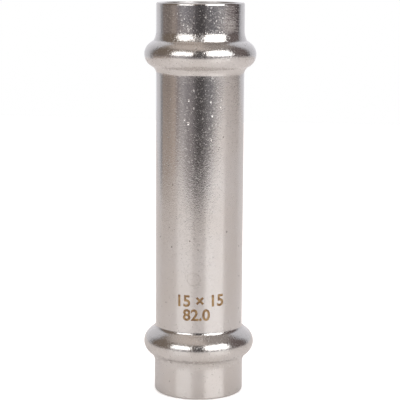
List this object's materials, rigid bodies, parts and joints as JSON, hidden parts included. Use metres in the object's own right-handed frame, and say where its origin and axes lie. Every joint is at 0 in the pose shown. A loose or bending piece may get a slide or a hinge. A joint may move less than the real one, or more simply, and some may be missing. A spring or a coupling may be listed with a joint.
{
  "type": "press slip coupling",
  "caption": "Straight stainless press coupling with a smooth through bore and a ring chamber bead near each mouth, for repairing a cut water tube.",
  "frame": {"origin": "middle of the lower mouth, in the plane it stands on", "axes": "+Z along the tube's axis, from the lower mouth to the upper mouth; X and Y are any two directions across it"},
  "size_m": [0.0232, 0.0232, 0.082],
  "materials": {
    "stainless": "satin, drawn and tumbled",
    "seal_rubber": "smooth moulded rubber"
  },
  "bodies": {
    "root": {"coupling_body": "stainless", "lower_seal": "seal_rubber", "upper_seal": "seal_rubber"}
  },
  "joints": []
}
